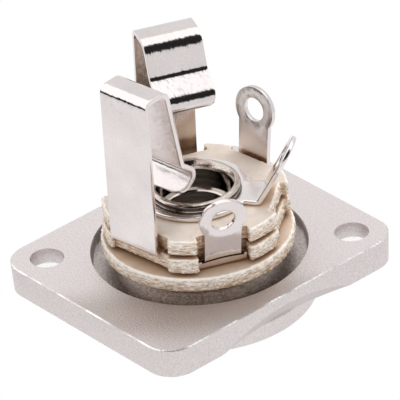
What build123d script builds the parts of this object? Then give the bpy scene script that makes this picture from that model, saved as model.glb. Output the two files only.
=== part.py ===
from build123d import *
from math import cos, radians, sin, tan
import os

# Quarter inch three conductor panel jack on a D-type flange, in millimetres.
# The jack stands on its front boss with its contact springs up, as it does behind a panel laid flat.
# The origin is the centre of the two screw holes on the flange's rear face.
# Z is the plug's axis and points to the springs, X runs along the flange's short side.

os.makedirs("parts", exist_ok=True)

# Flange, one die casting with a round boss on its front
FLANGE_X = 26.0
FLANGE_Y = 31.0
FLANGE_T = 3.175
FLANGE_CORNER_R = 3.0
FLANGE_DRAFT_DEG = 2.6
FLANGE_BEVEL = 0.12
SCREW_X = 19.0
SCREW_Y = 24.0
SCREW_HOLE_R = 1.75
BOSS_R = 12.0
BOSS_H = 2.13
BOSS_DRAFT_DEG = 8.0
BOSS_EDGE_R = 0.4
RECESS_R = 10.97
RECESS_DEPTH = 1.1
RECESS_DRAFT_DEG = 12.0
NUT_POCKET_R = 8.5
NUT_FLOOR_T = 1.8

# Hollow along each long side of the flange, the trace of a cylinder that leans in towards the front
SCALLOP_R = 38.7
SCALLOP_START_Z = -1.16
SCALLOP_DEPTH = 1.25

# Strips and fibre insulation, stacked upwards on the bushing's shoulder
STRIP_T = 0.5
FIBRE_T = 1.55
STACK_Z = 0.65
SPACER_R = 9.4
DISC_RIM = 0.3
DISC_EDGE_R = 0.25
FIBRE_EDGE_R = 0.2
TAB_CORNER_R = 0.3
UPPER_TAB_TRIM = 0.1
TUBE_WALL = 0.35

# Bushing for a 6.35 mm plug, with a shoulder, a threaded neck and a lip rolled over the sleeve plate
PLUG_R = 3.175
PLUG_FIT = 0.045
NECK_R = 4.7
NECK_END_Z = -5.2
NECK_BEVEL = 0.3
MOUTH_BEVEL = 0.35
SHOULDER_R = 8.3
BARREL_R = 4.1
STEP_Z = 4.45
STEP_R = 3.35
MOUTH_R = 3.6
STEP_BEVEL = 0.13
LIP_R = 4.55
LIP_H = 0.7
LIP_SHOULDER_H = 0.52
LIP_CREST_R = 4.05
FLARE_R = 3.87
FLARE_H = 0.5
MOUTH_DROP = 0.05

# Nut and washer that hold the bushing in the flange
NUT_ACROSS = 12.7
NUT_T = 1.65
NUT_BEVEL = 0.35
NUT_BEVEL_DEG = 15.0
WASHER_R = 6.9
WASHER_T = 0.5

# Named clearances
SLIP_FIT = 0.05
NECK_FIT = 0.15
FLEX_GAP = 0.02

# Every strip leaves the stack in one of six directions, degrees about Z from X
FIRST_DIR = 36.8
SLOT_PITCH = 60.0
SLEEVE_LUG_DIR = FIRST_DIR
RING_LUG_DIR = FIRST_DIR + SLOT_PITCH
TIP_SPRING_DIR = FIRST_DIR + 2 * SLOT_PITCH
SPARE_DIR = FIRST_DIR + 3 * SLOT_PITCH
RING_SPRING_DIR = FIRST_DIR - 2 * SLOT_PITCH
TIP_LUG_DIR = FIRST_DIR - SLOT_PITCH

# Solder lugs, each a neck with a round pierced head, bent up inside the spacers' rim by its inset
LUG_HEAD_R = 2.45
LUG_HOLE_R = 1.25
LUG_NECK_W = 3.8
BEND_R = 0.5
LUG_FOOT_W = 5.05
LUG_FOOT_H = 0.95
SLEEVE_NECK_W = 4.1
TIP_LUG_INSET = 1.65
TIP_LUG_LEAN = 12.5
TIP_LUG_REACH = 6.05
RING_LUG_INSET = 0.66
RING_LUG_LEAN = 7.0
RING_LUG_REACH = 6.75
RING_BEND_R = 0.4
SLEEVE_LUG_INSET = 2.55
SLEEVE_LUG_LEAN = 29.0
SLEEVE_LUG_REACH = 4.85
SLEEVE_PLATE_RIM = 1.2
PLATE_RIM = 2.05

# Contact springs, folded over at the top like hairpins
SPRING_W = 6.0
SPRING_TOP_Z = 22.0
TIP_SPRING_INSET = 0.23
TIP_SPRING_LEAN = -5.1
RING_SPRING_INSET = 0.29
RING_SPRING_LEAN = -0.85
TIP_FLEX_H = 1.2
RING_FLEX_H = 0.85

# Corners of each spring's middle line after its top bend, each by distance from the axis and height
TIP_TOP_D = 4.04
TIP_CREASE_D = 2.76
TIP_CREASE_Z = 18.4
TIP_NOSE_D = 0.42
TIP_NOSE_Z = 16.88
TIP_CHIN_D = 0.1
TIP_CHIN_Z = 15.95
TIP_END_D = 1.14
TIP_END_Z = 15.35
TIP_END_CORNER_R = 0.7
RING_TOP_D = 6.02
RING_KINK_D = 4.5
RING_KINK_Z = 12.65
RING_NOSE_D = 2.48
RING_NOSE_Z = 11.06
RING_END_D = 4.8
RING_END_Z = 9.29
RING_END_CORNER_R = 1.4

# Bend radii of each spring's middle line
TIP_OUTER_BEND_R = 1.0
TIP_INNER_BEND_R = 1.45
TIP_CREASE_BEND_R = 0.83
TIP_NOSE_BEND_R = 1.05
TIP_CHIN_BEND_R = 0.55
RING_OUTER_BEND_R = 0.65
RING_INNER_BEND_R = 1.0
RING_KINK_BEND_R = 0.6
RING_NOSE_BEND_R = 0.85

# Widths of the spacers' notches
LUG_NOTCH_W = 5.3
SPRING_NOTCH_W = 7.2
SPARE_NOTCH_W = 2.9

# Heights of the stack, from the shoulder up
tip_z = STACK_Z + FIBRE_T
lower_spacer_z = tip_z + STRIP_T
ring_z = lower_spacer_z + FIBRE_T
upper_spacer_z = ring_z + STRIP_T
sleeve_z = upper_spacer_z + FIBRE_T
stack_top_z = sleeve_z + STRIP_T

# Radii that follow from the bushing, each with its clearance
plug_bore_r = PLUG_R + PLUG_FIT
disc_hole_r = BARREL_R + SLIP_FIT
tube_r = disc_hole_r + TUBE_WALL
strip_hole_r = tube_r + SLIP_FIT
flange_hole_r = NECK_R + NECK_FIT
sleeve_plate_r = LIP_R + SLEEVE_PLATE_RIM
plate_r = strip_hole_r + PLATE_RIM
half_t = STRIP_T / 2

# Distances from the axis that follow from the spacers' rim
disc_r = SPACER_R + DISC_RIM
upper_spacer_r = SPACER_R - UPPER_TAB_TRIM
tip_lug_d = SPACER_R - TIP_LUG_INSET
ring_lug_d = SPACER_R - RING_LUG_INSET
sleeve_lug_d = SPACER_R - SLEEVE_LUG_INSET
tip_spring_d = SPACER_R - TIP_SPRING_INSET
ring_spring_d = SPACER_R - RING_SPRING_INSET

# Notches of the spacers, as (direction, distance of the strip or rim, depth of the floor inside that, width)
LOWER_NOTCHES = (
    (SLEEVE_LUG_DIR, SPACER_R, 1.0, LUG_NOTCH_W),
    (RING_LUG_DIR, ring_lug_d, 0.64, LUG_NOTCH_W),
    (TIP_SPRING_DIR, tip_spring_d, 1.97, SPRING_NOTCH_W),
    (SPARE_DIR, SPACER_R, 0.9, SPARE_NOTCH_W),
    (RING_SPRING_DIR, ring_spring_d, 1.06, SPRING_NOTCH_W),
    (TIP_LUG_DIR, tip_lug_d, 0.55, LUG_NOTCH_W),
)
UPPER_NOTCHES = (
    (SLEEVE_LUG_DIR, SPACER_R, 1.3, LUG_NOTCH_W),
    (RING_LUG_DIR, ring_lug_d, 0.44, LUG_NOTCH_W),
    (TIP_SPRING_DIR, tip_spring_d, 1.97, SPRING_NOTCH_W),
    (SPARE_DIR, SPACER_R, 0.9, SPARE_NOTCH_W),
    (RING_SPRING_DIR, ring_spring_d, 1.21, SPRING_NOTCH_W),
    (TIP_LUG_DIR, tip_lug_d, -0.1, LUG_NOTCH_W),
)


def flat_plane(z, direction):
    """A level plane at height z whose X axis points outward along the direction."""
    a = radians(direction)
    return Plane(origin=(0, 0, z), x_dir=(cos(a), sin(a), 0), z_dir=(0, 0, 1))


def side_plane(direction):
    """The upright plane along a direction: X is the distance from the axis, Y is the height."""
    a = radians(direction)
    return Plane(origin=(0, 0, 0), x_dir=(cos(a), sin(a), 0), z_dir=(sin(a), -cos(a), 0))


def leaning(corner_d, corner_z, lean, height):
    """The point at a height above a bend on a strip that leans outward by some degrees."""
    return (corner_d + height * tan(radians(lean)), corner_z + height)


def lug_plane(direction, corner_d, corner_z, lean):
    """The middle plane of a leaning lug: its X runs across the strip, its Y up along the lug."""
    a = radians(direction)
    b = radians(lean)
    across = (-sin(a), cos(a), 0)
    outward = (cos(a) * cos(b), sin(a) * cos(b), -sin(b))
    return Plane(origin=(cos(a) * corner_d, sin(a) * corner_d, corner_z), x_dir=across, z_dir=outward)


def bent_strip(direction, points, bends, width):
    """A strip bent along a line of (distance, height) points, added to the part being built."""
    with BuildSketch(side_plane(direction)) as profile:
        with BuildLine():
            FilletPolyline(*points, radius=bends)
        trace(line_width=STRIP_T)
    extrude(profile.sketch, amount=width / 2, both=True)


def round_end(piece, direction, end, radius):
    """Rounds the two corners of a strip's free end, given as (distance, height)."""
    middle = side_plane(direction).from_local_coords(Vector(*end))
    short_edges = piece.edges().filter_by(lambda e: abs(e.length - STRIP_T) < SLIP_FIT)
    fillet(short_edges.sort_by_distance(middle)[:2], radius=radius)


def lug_head(direction, corner_d, corner_z, lean, reach):
    """The round head of a solder lug with its wire hole, on the end of a bent neck."""
    plane = lug_plane(direction, corner_d, corner_z, lean)
    with BuildSketch(plane) as head:
        with Locations((0, reach)):
            Circle(LUG_HEAD_R)
    extrude(head.sketch, amount=half_t, both=True)
    with BuildSketch(plane) as hole:
        with Locations((0, reach)):
            Circle(LUG_HOLE_R)
    extrude(hole.sketch, amount=STRIP_T, both=True, mode=Mode.SUBTRACT)


def fibre_spacer(z, radius, slots):
    """A fibre spacer whose rim is notched flat wherever a strip leaves the stack."""
    with BuildPart() as spacer:
        with BuildSketch(flat_plane(z, FIRST_DIR)):
            Circle(radius)
            Circle(strip_hole_r, mode=Mode.SUBTRACT)
        extrude(amount=FIBRE_T)
        for direction, distance, depth, width in slots:
            with BuildSketch(flat_plane(z, direction)):
                with Locations((distance - depth + SPACER_R / 2, 0)):
                    Rectangle(SPACER_R, width)
            extrude(amount=FIBRE_T, mode=Mode.SUBTRACT)
        on_rim = spacer.edges().filter_by(Axis.Z).filter_by(
            lambda e: Vector(e.center().X, e.center().Y).length > radius - SLIP_FIT
        )
        fillet(on_rim, radius=TAB_CORNER_R)
        fillet(spacer.faces().sort_by(Axis.Z)[-1].outer_wire().edges(), radius=FIBRE_EDGE_R)
    return spacer


# The flange: a drafted slab and boss, a shallow recess behind and a nut pocket in front
with BuildPart() as flange:
    with BuildSketch():
        RectangleRounded(FLANGE_X, FLANGE_Y, FLANGE_CORNER_R)
    extrude(amount=-FLANGE_T, taper=FLANGE_DRAFT_DEG)
    chamfer(flange.faces().sort_by(Axis.Z)[-1].edges(), length=FLANGE_BEVEL)

    # Hollows of the long sides, each cut by one leaning cylinder
    scallop_drop = FLANGE_T + SCALLOP_START_Z
    slope = (-SCALLOP_DEPTH, 0, -scallop_drop)
    for side in (1, -1):
        run = Vector(side * slope[0], 0, slope[2]).normalized()
        away = Vector(side * -slope[2], 0, slope[0]).normalized()
        start = Vector(side * FLANGE_X / 2, 0, SCALLOP_START_Z) + away * SCALLOP_R
        with BuildSketch(Plane(origin=start, x_dir=(0, 1, 0), z_dir=run)):
            Circle(SCALLOP_R)
        extrude(amount=FLANGE_T * 2, both=True, mode=Mode.SUBTRACT)

    with BuildSketch(Plane.XY.offset(-FLANGE_T)):
        Circle(BOSS_R)
    extrude(amount=-BOSS_H, taper=BOSS_DRAFT_DEG)
    fillet(flange.faces().sort_by(Axis.Z)[0].edges(), radius=BOSS_EDGE_R)

    with BuildSketch():
        Circle(RECESS_R)
    extrude(amount=-RECESS_DEPTH, taper=RECESS_DRAFT_DEG, mode=Mode.SUBTRACT)
    with BuildSketch(Plane.XY.offset(-RECESS_DEPTH - NUT_FLOOR_T)):
        Circle(NUT_POCKET_R)
    extrude(amount=-FLANGE_T - BOSS_H, mode=Mode.SUBTRACT)
    with BuildSketch():
        Circle(flange_hole_r)
        with Locations((SCREW_X / 2, SCREW_Y / 2), (-SCREW_X / 2, -SCREW_Y / 2)):
            Circle(SCREW_HOLE_R)
    extrude(amount=-FLANGE_T - BOSS_H, mode=Mode.SUBTRACT)

# The bushing, turned from one bar
with BuildPart() as bushing:
    with BuildSketch(Plane.XZ):
        with BuildLine():
            Polyline(
                (plug_bore_r + MOUTH_BEVEL, NECK_END_Z),
                (NECK_R - NECK_BEVEL, NECK_END_Z),
                (NECK_R, NECK_END_Z + NECK_BEVEL),
                (NECK_R, -RECESS_DEPTH),
                (SHOULDER_R, -RECESS_DEPTH),
                (SHOULDER_R, STACK_Z),
                (BARREL_R, STACK_Z),
                (BARREL_R, stack_top_z),
                (LIP_R, stack_top_z),
            )
            ThreePointArc(
                (LIP_R, stack_top_z),
                (LIP_R, stack_top_z + LIP_SHOULDER_H),
                (LIP_CREST_R, stack_top_z + LIP_H),
            )
            Spline(
                (LIP_CREST_R, stack_top_z + LIP_H),
                (FLARE_R, stack_top_z + FLARE_H),
                (MOUTH_R, stack_top_z - MOUTH_DROP),
            )
            Polyline(
                (MOUTH_R, stack_top_z - MOUTH_DROP),
                (MOUTH_R, STEP_Z),
                (STEP_R, STEP_Z),
                (plug_bore_r, STEP_Z - STEP_BEVEL),
                (plug_bore_r, NECK_END_Z + MOUTH_BEVEL),
                (plug_bore_r + MOUTH_BEVEL, NECK_END_Z),
            )
        make_face()
    revolve(axis=Axis.Z)

# The washer and the nut in the pocket of the flange
washer_top_z = -RECESS_DEPTH - NUT_FLOOR_T
with BuildPart() as washer:
    with BuildSketch(Plane.XY.offset(washer_top_z)):
        Circle(WASHER_R)
        Circle(flange_hole_r, mode=Mode.SUBTRACT)
    extrude(amount=-WASHER_T)

nut_top_z = washer_top_z - WASHER_T
with BuildPart() as nut:
    with BuildSketch(Plane.XY.offset(nut_top_z)):
        RegularPolygon(NUT_ACROSS / 2, 6, major_radius=False)
    extrude(amount=-NUT_T)
    with BuildSketch(Plane.XY.offset(nut_top_z)):
        Circle(NUT_ACROSS / 2 + NUT_BEVEL)
    extrude(amount=-NUT_T, taper=-NUT_BEVEL_DEG, mode=Mode.INTERSECT)
    with BuildSketch(Plane.XY.offset(nut_top_z)):
        Circle(NECK_R + SLIP_FIT)
    extrude(amount=-NUT_T, mode=Mode.SUBTRACT)

# The fibre disc that keeps the tip strip off the shoulder
with BuildPart() as base_disc:
    with BuildSketch(Plane.XY.offset(STACK_Z)):
        Circle(disc_r)
    extrude(amount=FIBRE_T)
    fillet(base_disc.edges(), radius=DISC_EDGE_R)
    with BuildSketch(Plane.XY.offset(STACK_Z)):
        Circle(disc_hole_r)
    extrude(amount=FIBRE_T, mode=Mode.SUBTRACT)

# The tube that keeps the strips off the barrel
with BuildPart() as insulating_tube:
    with BuildSketch(Plane.XY.offset(tip_z)):
        Circle(tube_r)
        Circle(disc_hole_r, mode=Mode.SUBTRACT)
    extrude(amount=sleeve_z - tip_z)

# The tip strip: its plate, its solder lug and the root of its spring
tip_mid_z = tip_z + half_t
tip_root = leaning(tip_spring_d, tip_mid_z, TIP_SPRING_LEAN, TIP_FLEX_H)
tip_head = leaning(tip_lug_d, tip_mid_z, TIP_LUG_LEAN, TIP_LUG_REACH * cos(radians(TIP_LUG_LEAN)))
with BuildPart() as tip_terminal:
    with BuildSketch(Plane.XY.offset(tip_z)):
        Circle(plate_r)
    extrude(amount=STRIP_T)
    tip_foot = leaning(tip_lug_d, tip_mid_z, TIP_LUG_LEAN, LUG_FOOT_H)
    tip_foot_line = [(plate_r / 2, tip_mid_z), (tip_lug_d, tip_mid_z), tip_foot]
    bent_strip(TIP_LUG_DIR, tip_foot_line, BEND_R, LUG_FOOT_W)
    tip_lug_line = [(plate_r / 2, tip_mid_z), (tip_lug_d, tip_mid_z), tip_head]
    bent_strip(TIP_LUG_DIR, tip_lug_line, BEND_R, LUG_NECK_W)
    lug_head(TIP_LUG_DIR, tip_lug_d, tip_mid_z, TIP_LUG_LEAN, TIP_LUG_REACH)
    tip_root_line = [(plate_r / 2, tip_mid_z), (tip_spring_d, tip_mid_z), tip_root]
    bent_strip(TIP_SPRING_DIR, tip_root_line, BEND_R, SPRING_W)
    with BuildSketch(Plane.XY.offset(tip_z)):
        Circle(strip_hole_r)
    extrude(amount=STRIP_T, mode=Mode.SUBTRACT)

# The tip spring: up, over the top, down to the crease and round the nose that meets the plug's tip
top_mid_z = SPRING_TOP_Z - half_t
tip_start = leaning(tip_spring_d, tip_mid_z, TIP_SPRING_LEAN, TIP_FLEX_H + FLEX_GAP)
tip_top = leaning(tip_spring_d, tip_mid_z, TIP_SPRING_LEAN, top_mid_z - tip_mid_z)
with BuildPart() as tip_spring:
    tip_fold = [tip_start, tip_top, (TIP_TOP_D, top_mid_z), (TIP_CREASE_D, TIP_CREASE_Z)]
    tip_hook = [(TIP_NOSE_D, TIP_NOSE_Z), (TIP_CHIN_D, TIP_CHIN_Z), (TIP_END_D, TIP_END_Z)]
    tip_top_bends = (TIP_OUTER_BEND_R, TIP_INNER_BEND_R, TIP_CREASE_BEND_R)
    tip_hook_bends = (TIP_NOSE_BEND_R, TIP_CHIN_BEND_R)
    bent_strip(TIP_SPRING_DIR, tip_fold + tip_hook, tip_top_bends + tip_hook_bends, SPRING_W)
    round_end(tip_spring, TIP_SPRING_DIR, (TIP_END_D, TIP_END_Z), TIP_END_CORNER_R)

# The ring strip, laid out like the tip strip
ring_mid_z = ring_z + half_t
ring_root = leaning(ring_spring_d, ring_mid_z, RING_SPRING_LEAN, RING_FLEX_H)
ring_head = leaning(ring_lug_d, ring_mid_z, RING_LUG_LEAN, RING_LUG_REACH * cos(radians(RING_LUG_LEAN)))
with BuildPart() as ring_terminal:
    with BuildSketch(Plane.XY.offset(ring_z)):
        Circle(plate_r)
    extrude(amount=STRIP_T)
    ring_lug_line = [(plate_r / 2, ring_mid_z), (ring_lug_d, ring_mid_z), ring_head]
    bent_strip(RING_LUG_DIR, ring_lug_line, RING_BEND_R, LUG_NECK_W)
    lug_head(RING_LUG_DIR, ring_lug_d, ring_mid_z, RING_LUG_LEAN, RING_LUG_REACH)
    ring_root_line = [(plate_r / 2, ring_mid_z), (ring_spring_d, ring_mid_z), ring_root]
    bent_strip(RING_SPRING_DIR, ring_root_line, BEND_R, SPRING_W)
    with BuildSketch(Plane.XY.offset(ring_z)):
        Circle(strip_hole_r)
    extrude(amount=STRIP_T, mode=Mode.SUBTRACT)

# The ring spring: up, over the top, down past a kink and round a hooked nose
ring_start = leaning(ring_spring_d, ring_mid_z, RING_SPRING_LEAN, RING_FLEX_H + FLEX_GAP)
ring_top = leaning(ring_spring_d, ring_mid_z, RING_SPRING_LEAN, top_mid_z - ring_mid_z)
with BuildPart() as ring_spring:
    ring_fold = [ring_start, ring_top, (RING_TOP_D, top_mid_z), (RING_KINK_D, RING_KINK_Z)]
    ring_hook = [(RING_NOSE_D, RING_NOSE_Z), (RING_END_D, RING_END_Z)]
    ring_bends = (RING_OUTER_BEND_R, RING_INNER_BEND_R, RING_KINK_BEND_R, RING_NOSE_BEND_R)
    bent_strip(RING_SPRING_DIR, ring_fold + ring_hook, ring_bends, SPRING_W)
    round_end(ring_spring, RING_SPRING_DIR, (RING_END_D, RING_END_Z), RING_END_CORNER_R)

# The sleeve strip: a ring plate under the rolled lip, with its solder lug
sleeve_mid_z = sleeve_z + half_t
sleeve_rise = SLEEVE_LUG_REACH * cos(radians(SLEEVE_LUG_LEAN))
sleeve_head = leaning(sleeve_lug_d, sleeve_mid_z, SLEEVE_LUG_LEAN, sleeve_rise)
with BuildPart() as sleeve_terminal:
    with BuildSketch(Plane.XY.offset(sleeve_z)):
        Circle(sleeve_plate_r)
    extrude(amount=STRIP_T)
    sleeve_line = [(sleeve_plate_r / 2, sleeve_mid_z), (sleeve_lug_d, sleeve_mid_z), sleeve_head]
    bent_strip(SLEEVE_LUG_DIR, sleeve_line, BEND_R, SLEEVE_NECK_W)
    lug_head(SLEEVE_LUG_DIR, sleeve_lug_d, sleeve_mid_z, SLEEVE_LUG_LEAN, SLEEVE_LUG_REACH)
    with BuildSketch(Plane.XY.offset(sleeve_z)):
        Circle(disc_hole_r)
    extrude(amount=STRIP_T, mode=Mode.SUBTRACT)

# The two fibre spacers that hold the strips apart
lower_spacer = fibre_spacer(lower_spacer_z, SPACER_R, LOWER_NOTCHES)
upper_spacer = fibre_spacer(upper_spacer_z, upper_spacer_r, UPPER_NOTCHES)

for name, piece in (
    ("flange", flange),
    ("bushing", bushing),
    ("washer", washer),
    ("nut", nut),
    ("base_disc", base_disc),
    ("insulating_tube", insulating_tube),
    ("tip_terminal", tip_terminal),
    ("tip_spring", tip_spring),
    ("lower_spacer", lower_spacer),
    ("ring_terminal", ring_terminal),
    ("ring_spring", ring_spring),
    ("upper_spacer", upper_spacer),
    ("sleeve_terminal", sleeve_terminal),
):
    piece.part.label = name
    export_step(piece.part, f"parts/{name}.step")
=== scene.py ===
from math import cos, pi, radians, sin, sqrt, tan

import bmesh
import bpy
from mathutils import Matrix, Vector


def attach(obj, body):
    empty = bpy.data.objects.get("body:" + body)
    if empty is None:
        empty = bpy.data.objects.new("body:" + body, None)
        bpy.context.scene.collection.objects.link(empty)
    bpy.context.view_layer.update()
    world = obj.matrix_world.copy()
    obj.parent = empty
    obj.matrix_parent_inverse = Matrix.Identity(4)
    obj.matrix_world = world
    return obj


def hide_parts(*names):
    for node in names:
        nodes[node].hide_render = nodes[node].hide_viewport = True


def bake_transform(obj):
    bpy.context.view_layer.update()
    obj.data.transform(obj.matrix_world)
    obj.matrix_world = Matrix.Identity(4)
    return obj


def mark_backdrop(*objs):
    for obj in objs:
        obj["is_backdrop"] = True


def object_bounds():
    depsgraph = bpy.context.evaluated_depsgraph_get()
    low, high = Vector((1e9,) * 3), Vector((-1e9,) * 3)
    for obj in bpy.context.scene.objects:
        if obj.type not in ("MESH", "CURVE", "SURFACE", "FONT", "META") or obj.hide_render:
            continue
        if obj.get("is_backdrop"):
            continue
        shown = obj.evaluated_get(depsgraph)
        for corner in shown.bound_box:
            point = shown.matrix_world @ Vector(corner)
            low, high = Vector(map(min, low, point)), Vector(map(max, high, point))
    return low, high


bl_info = {
    "name": "Quarter inch panel jack",
    "version": (1, 0, 0),
    "blender": (4, 5, 0),
    "location": "3D View > Sidebar > Panel Jack",
    "description": "Dresses a panel jack: folded contact springs, fibre insulation, plated casting",
    "category": "Object",
}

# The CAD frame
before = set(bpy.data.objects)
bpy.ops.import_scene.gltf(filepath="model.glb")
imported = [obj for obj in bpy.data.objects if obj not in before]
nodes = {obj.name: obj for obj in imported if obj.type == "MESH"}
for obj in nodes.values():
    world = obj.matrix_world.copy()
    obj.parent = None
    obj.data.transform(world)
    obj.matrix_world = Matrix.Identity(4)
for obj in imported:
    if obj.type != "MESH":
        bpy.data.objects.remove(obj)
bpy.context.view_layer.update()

MM = 0.001
# A plate has a point every 2.5 degrees and a lug's head one every 7.5 degrees, so that the columns of
# faces in a neck lead from the one to the other
RING_STEP = radians(2.5)
RING_POINTS = 144
HEAD_POINTS = 48
# Steps round a strip's bends and along its straight stretches
BEND_STEP = radians(7.5)
ROW_STEP = 0.3 * MM
# Foot of the fibre stack, and its pitch of one 1.55 mm board and one 0.5 mm strip
STACK_FOOT = 0.65 * MM
BOARD_PITCH = 2.05 * MM
# Direction from the bore to the corner that is nearest in the photo
NEAR_CORNER = radians(-39.1)
# The slab's face on the panel side, half its width, and the recess round the stack
FLANGE_FRONT = -3.175 * MM
FLANGE_HALF = 13.0 * MM
RECESS_FLOOR = -1.1 * MM
RECESS_RADIUS = 10.95 * MM
# Points of the CAD mesh that lie closer than this are one point
CAD_MERGE = 0.0005 * MM
# A strip has no straight stretch shorter than this between two bends, and its seams close within SEAM
SHORTEST = 0.01 * MM
SEAM = 0.004 * MM
# An arm starts from the points of a plate's rim that lie within its width and this margin
ARM_MARGIN = 0.1 * MM
# Rounding of the edges of the casting and of the nut and washer
CAST_EDGE = 0.035 * MM
STEEL_EDGE = 0.05 * MM


def mm(name, value, description):
    """A length property with its default given in millimetres."""
    return bpy.props.FloatProperty(
        name=name,
        description=description,
        default=value * MM,
        soft_min=0.0,
        precision=5,
        unit="LENGTH",
    )


def angle(name, degrees, description):
    """An angle property with its default given in degrees."""
    return bpy.props.FloatProperty(
        name=name, description=description, default=radians(degrees), subtype="ANGLE"
    )


def srgb(text):
    """A linear colour with alpha from six sRGB hex digits."""
    channels = [int(text[i : i + 2], 16) / 255 for i in (0, 2, 4)]
    linear = [c / 12.92 if c <= 0.04045 else ((c + 0.055) / 1.055) ** 2.4 for c in channels]
    return (*linear, 1.0)


def colour(name, text, description):
    """A colour property with its default given as sRGB hex."""
    return bpy.props.FloatVectorProperty(
        name=name,
        description=description,
        default=srgb(text),
        size=4,
        min=0.0,
        max=1.0,
        subtype="COLOR",
    )


class JACK_PG_sizes(bpy.types.PropertyGroup):
    """Sizes of the pieces that are drawn finer here than in the frame."""

    strip_thickness: mm("Strip thickness", 0.5, "Thickness of every contact strip")
    strip_edge: mm("Strip edge", 0.15, "Rounding of the strips' punched edges")
    bend: mm("Bend", 0.5, "Middle radius of the bends at the strips' feet")
    tip_plate_height: mm("Tip plate height", 2.45, "Height of the middle of the tip strip's plate")
    ring_plate_height: mm("Ring plate height", 4.5, "Height of the middle of the ring strip's plate")
    sleeve_plate_height: mm("Sleeve plate height", 6.55, "Height of the middle of the sleeve plate")
    plate_radius: mm("Plate radius", 6.6, "Radius of the tip and ring plates")
    plate_hole: mm("Plate hole", 4.55, "Hole of the tip and ring plates, clear of the insulating tube")
    sleeve_radius: mm("Sleeve plate radius", 5.75, "Radius of the sleeve plate")
    sleeve_hole: mm("Sleeve plate hole", 4.15, "Hole of the sleeve plate, on the barrel")
    spring_width: mm("Spring width", 6.0, "Width of both contact springs")
    head_radius: mm("Lug head radius", 2.45, "Radius of a solder lug's round head")
    head_hole: mm("Lug hole radius", 1.25, "Radius of a solder lug's wire hole")
    screw_x: mm("Screw spacing X", 19.0, "Distance between the screw holes along X")
    screw_y: mm("Screw spacing Y", 24.0, "Distance between the screw holes along Y")
    screw_hole: mm("Screw hole radius", 1.75, "Radius of a screw hole")
    sink_radius: mm("Countersink radius", 3.25, "Radius of a screw hole's countersink on the panel side")
    first_direction: angle("First direction", 36.8, "Direction of the sleeve lug")


class JACK_PG_colours(bpy.types.PropertyGroup):
    """Colours of the finishes."""

    casting: colour("Casting", "DFD8D7", "Satin nickel on the die casting")
    strip: colour("Strip", "E5DEDD", "Bright nickel on the contact strips")
    sleeve: colour("Sleeve", "EEE9E8", "Bright nickel on the sleeve terminal")
    strip_inner: colour("Strip inside", "CCBDB3", "Thin, brownish nickel inside the tip strip")
    turned: colour("Turned part", "D2CBC5", "Bright nickel on the turned bushing")
    hardware: colour("Hardware", "BDB8B2", "Zinc plate on the nut and washer")
    fibre: colour("Fibre", "DACDC1", "Calendered face of the vulcanised fibre")
    # Pale fibre is also the painted highlight on the boards' rounded upper corners
    fibre_pale: colour("Pale fibre", "F3ECE4", "Pressed corners and cut fibres")
    fibre_dark: colour("Tan fibre", "B58F62", "Tan specks between the cut fibres")
    tube: colour("Tube", "B99B6B", "Varnished paper tube")


class JACK_PG_stage(bpy.types.PropertyGroup):
    """Camera and light."""

    lens: bpy.props.FloatProperty(
        name="Lens", description="Focal length of the camera", default=472.27, unit="CAMERA"
    )
    distance: mm("Distance", 525.375, "Distance of the camera from the origin")
    turn: angle("Turn", 50.926, "Turn of the camera round the object from the front")
    rise: angle("Rise", 32.138, "Height of the camera above the horizon")
    roll: angle("Roll", -4.502, "Roll of the camera")
    right: mm("Right", 0.063, "Sideways place of the camera")
    up: mm("Up", 4.491, "Upward place of the camera")


def sizes():
    """The sizes that the user can change."""
    return bpy.context.scene.jack_sizes


def colours():
    """The colours that the user can change."""
    return bpy.context.scene.jack_colours


# A Mix node has its numbers at inputs 2 and 3 and output 0, and its colours at inputs 6 and 7 and output 2
def add(tree, kind, inputs=None, stops=(), **settings):
    """Adds a node with settings, links and colour stops; a node given as a value links its first output."""
    made = tree.nodes.new(kind)
    for key, value in settings.items():
        setattr(made, key, value)
    for key, value in (inputs or {}).items():
        if isinstance(value, bpy.types.Node):
            value = value.outputs[0]
        if isinstance(value, bpy.types.NodeSocket):
            tree.links.new(value, made.inputs[key])
        else:
            made.inputs[key].default_value = value
    if stops:
        band = made.color_ramp.elements
        band[0].position, band[0].color = stops[0]
        band[1].position, band[1].color = stops[-1]
        for position, value in stops[1:-1]:
            band.new(position).color = value
    return made


def new_material(name, base, metallic, roughness):
    """A material with one shader, its own object coordinates, and its plain values set on the sockets."""
    material = bpy.data.materials.new(name)
    material.use_nodes = True
    tree = material.node_tree
    shader = tree.nodes["Principled BSDF"]
    shader.inputs["Base Color"].default_value = base
    shader.inputs["Metallic"].default_value = metallic
    shader.inputs["Roughness"].default_value = roughness
    place = add(tree, "ShaderNodeTexCoord").outputs["Object"]
    return material, tree, shader, place


def tinted(base, share):
    """A colour made lighter or darker by a share."""
    return (*(min(1.0, c * share) for c in base[:3]), 1.0)


def zone(tree, value, low, high, soft, within=1.0):
    """A mask: 1 where a value lies between two limits, with soft ends, within another mask."""
    rise = add(
        tree,
        "ShaderNodeMapRange",
        {"Value": value, "From Min": low - soft, "From Max": low + soft, "To Max": within},
        interpolation_type="SMOOTHSTEP",
    )
    return add(
        tree,
        "ShaderNodeMapRange",
        {"Value": value, "From Min": high - soft, "From Max": high + soft, "To Min": rise, "To Max": 0.0},
        interpolation_type="SMOOTHSTEP",
    )


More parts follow.
